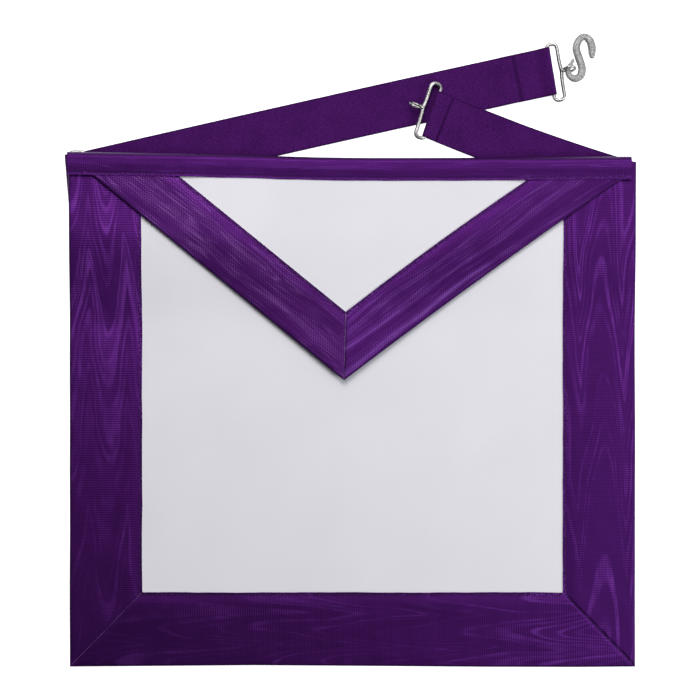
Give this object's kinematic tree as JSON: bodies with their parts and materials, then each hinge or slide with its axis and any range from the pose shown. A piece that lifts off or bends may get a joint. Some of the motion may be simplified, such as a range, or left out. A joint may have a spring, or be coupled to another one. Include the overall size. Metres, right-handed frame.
{
  "type": "masonic apron",
  "caption": "Square white lodge apron with a pointed flap and a folded waistband, edged in purple watered ribbon, with a webbing belt that closes with a snake hook.",
  "frame": {"origin": "middle of the panel's back, on the surface that the apron lies on", "axes": "+Z out of the apron's front, +Y up to the waistband, +X to the right as it is seen from the front"},
  "size_m": [0.4015, 0.4449, 0.0125],
  "materials": {
    "leather_cloth": "white coated leather cloth, smooth with a fine grain, satin",
    "moire_ribbon": "purple ribbed ribbon with a watered figure, soft sheen",
    "belt_webbing": "dark purple plain-woven webbing, matt",
    "slide_wire": "bright nickel-plated wire",
    "cast_hook": "cast and antiqued silver colour, finely pebbled"
  },
  "bodies": {
    "root": {"apron_panel": "leather_cloth", "border_left": "moire_ribbon", "border_right": "moire_ribbon", "border_bottom": "moire_ribbon", "waistband": "moire_ribbon", "flap_panel": "leather_cloth", "flap_ribbon_left": "moire_ribbon", "flap_ribbon_right": "moire_ribbon", "belt_long": "belt_webbing", "belt_short": "belt_webbing", "adjuster_slide": "slide_wire", "hook_slide": "slide_wire", "eye_slide": "slide_wire", "snake_hook": "cast_hook"}
  },
  "joints": []
}
